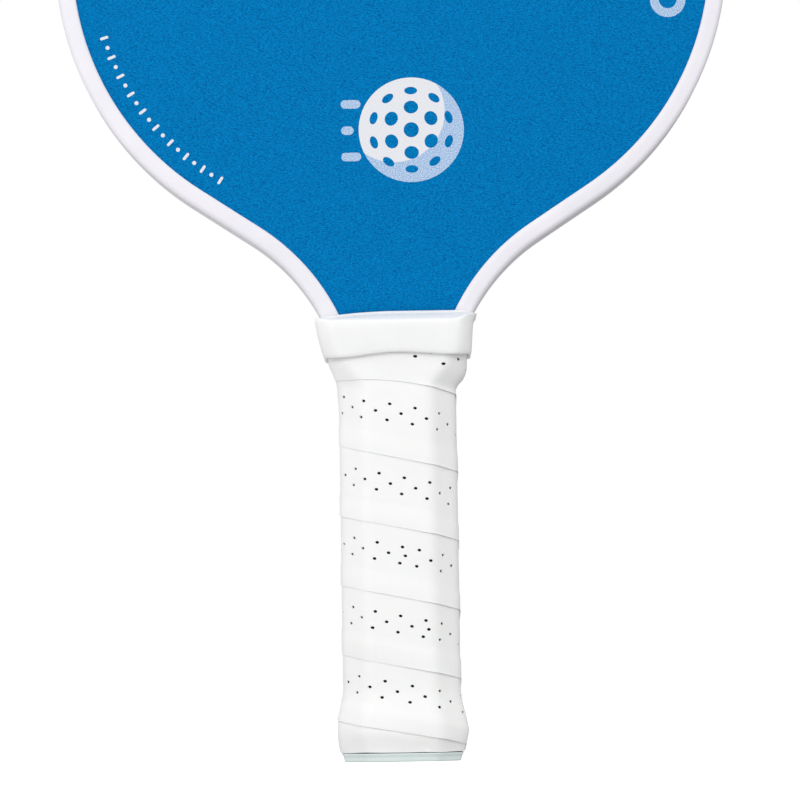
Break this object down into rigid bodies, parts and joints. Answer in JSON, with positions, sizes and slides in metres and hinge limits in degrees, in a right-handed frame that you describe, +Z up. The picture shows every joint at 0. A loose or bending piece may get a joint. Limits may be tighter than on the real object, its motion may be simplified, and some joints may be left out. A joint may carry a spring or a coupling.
{
  "type": "pickleball paddle",
  "caption": "Wide-bodied pickleball paddle with a honeycomb blade, soft edge guard, wound perforated grip, rubber collar and flared butt cap.",
  "frame": {"origin": "centre of the butt cap's flat end face", "axes": "+Z up the handle to the crown of the blade; the front hitting face looks along -Y; +X to the right of someone who looks at the front"},
  "size_m": [0.2032, 0.032, 0.4064],
  "materials": {
    "core": "extruded polypropylene, milky, with open cells",
    "scrim": "woven glass-fibre scrim set in bonding resin",
    "skin": "composite sheet, blue, with a fine gritty texture and a printed emblem",
    "guard": "moulded soft plastic, white, semi-gloss",
    "bond": "double-sided bonding tape, cream",
    "shell": "moulded plastic, dark grey",
    "butt": "moulded plastic, pale mint, glossy",
    "staple": "plated steel wire",
    "cushion": "closed-cell foam, black",
    "grip": "soft polyurethane tape, white, perforated, slightly tacky",
    "binding": "thin adhesive tape, white",
    "collar": "silicone rubber, warm white, satin"
  },
  "bodies": {
    "root": {"honeycomb_core": "core", "front_scrim": "scrim", "back_scrim": "scrim", "front_face_sheet": "skin", "back_face_sheet": "skin", "edge_guard": "guard", "edge_tape": "bond", "handle_shell_front": "shell", "handle_shell_back": "shell", "butt_cap": "butt", "butt_staple_front": "staple", "butt_staple_back": "staple", "cushion_sleeve": "cushion", "grip_tape": "grip", "finishing_tape": "binding", "grip_collar": "collar"}
  },
  "joints": []
}
